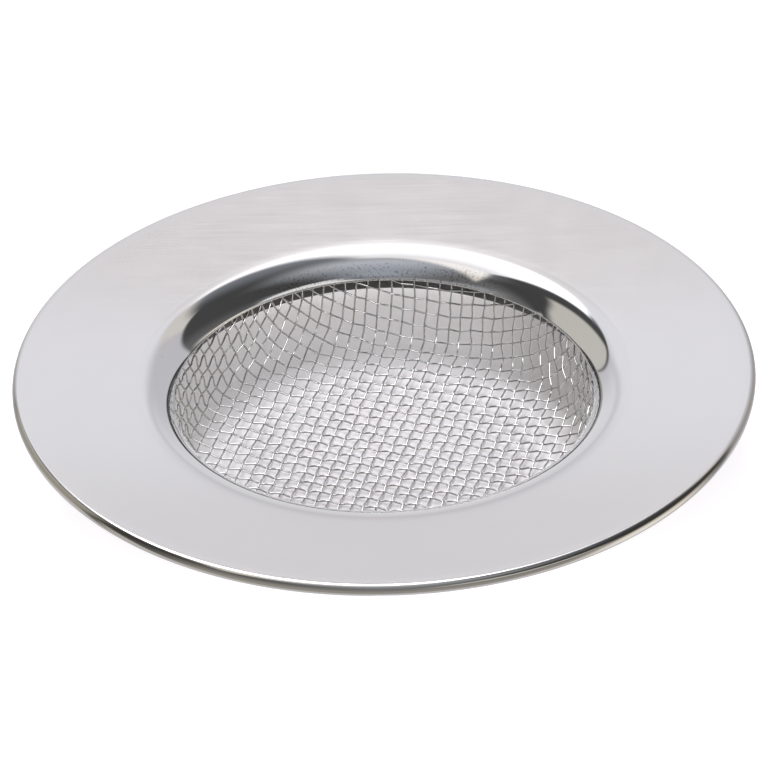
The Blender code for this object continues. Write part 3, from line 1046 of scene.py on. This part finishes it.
# %% [markdown]
# Behind the object hangs the backdrop, a sheet of paper with two slanting upper edges. The flange falls
# inward, so its front mirrors the paper at about 29 degrees, its sides at 34 and its back at 39. The paper
# changes tone with height, and so the flange gets its own tone at the front, the sides and the back. The
# soft bend beside the shoulder is steeper and mirrors what lies beyond: down to 24 degrees at the front
# and up to 44 at the back. So right behind the object the paper has narrower bands, bright low down,
# darker at about 38 degrees, and above that bright, with a warm one beside it. To the left of the paper
# stands a beige board.

# %% Backdrop and board
lamp_side = maths(sky, "MAXIMUM", past(0.60, 1, -1.05, -0.05, 0.10), rising(sky, x, 0.12, 0.04))
upper_edge = maths(sky, "MINIMUM", past(-0.39, 1, -0.42, 0.0, 0.07), lamp_side)
backdrop = both(upper_edge, rising(sky, azimuth, 24, 28), past(1.15, 1, -0.50, -0.02, 0.04))
in_middle = near_azimuth(96, 34, 10)
paper = mixed(sky, higher(30, 40), (0.75, 0.745, 0.78, 1), (0.76, 0.74, 0.75, 1))
paper = mixed(sky, both(in_middle, higher(24, 33)), paper, (1.08, 1.08, 1.12, 1))
paper = mixed(sky, both(in_middle, higher(30, 20)), paper, (1.0, 1.0, 1.03, 1))
far_paper = both(near_azimuth(90, 5, 2), higher(36, 38), higher(40, 39))
paper = mixed(sky, far_paper, paper, (0.58, 0.49, 0.475, 1))
high_paper = both(higher(39, 41), near_azimuth(90, 15, 5))
paper = mixed(sky, high_paper, paper, (1.15, 1.12, 1.13, 1))
high_side = both(higher(38, 41), near_azimuth(60, 24, 18))
paper = mixed(sky, high_side, paper, (0.90, 0.87, 0.82, 1))
room = mixed(sky, backdrop, room, paper)
board = both(past(1.15, 1, -0.44, 0.0, -0.04), past(-0.13, 1, -0.50, -0.06, 0.06))
board = both(board, past(1, 0, 0.90, 0.08, -0.04), rising(sky, azimuth, 178, 170))
room = mixed(sky, board, room, (0.76, 0.74, 0.68, 1))
print("the studio has", len(sky.nodes), "nodes so far")

# %% [markdown]
# Last comes the lamp itself, a long white panel over the object with a hotter core, a soft glow on its
# right side and a warm white board that leans from its near corner.

# %% Lamp panel
glow = both(above(1, 0, 0.60, 0.10), above(1, 0, -0.6, -0.5), above(0, 1, -0.3, 0.5))
glow = both(glow, above(0, 1, 1.5, 1.0), maths(sky, "SUBTRACT", 1.0, backdrop))
room = mixed(sky, both(glow, 0.5), room, (0.55, 0.60, 0.68, 1))
panel = both(above(1, 0, -0.56, -0.50), above(1, -0.12, 0.14, 0.02), above(0, 1, -0.10, 0.06))
panel = both(panel, above(-0.30, 1, 1.16, 1.08), above(0.9, 1, 1.30, 1.15))
panel_tone = mixed(sky, above(0, 1, 0.0, 0.35), (1.25, 1.25, 1.28, 1), (1.75, 1.75, 1.79, 1))
room = mixed(sky, panel, room, panel_tone)
core = both(above(1, 0, -0.50, -0.38), above(1, -0.12, 0.04, -0.06), above(0, 1, 0.34, 0.50))
core = both(core, above(-0.30, 1, 0.92, 0.80))
room = mixed(sky, core, room, (10.0, 10.0, 10.1, 1))
leaning = both(above(-0.741, 1, -0.06, 0.12), above(1.51, -1, -0.87, -0.72), above(0, 1, 0.08, -0.04))
leaning_tone = mixed(sky, above(0, 1, -0.10, -0.45), (1.5, 1.46, 1.44, 1), (1.10, 1.04, 0.96, 1))
room = mixed(sky, leaning, room, leaning_tone)
put(sky, room, sky.nodes["Background"].inputs["Color"])
bpy.context.scene.view_settings.view_transform = "Standard"
print("the studio has", len(sky.nodes), "nodes")
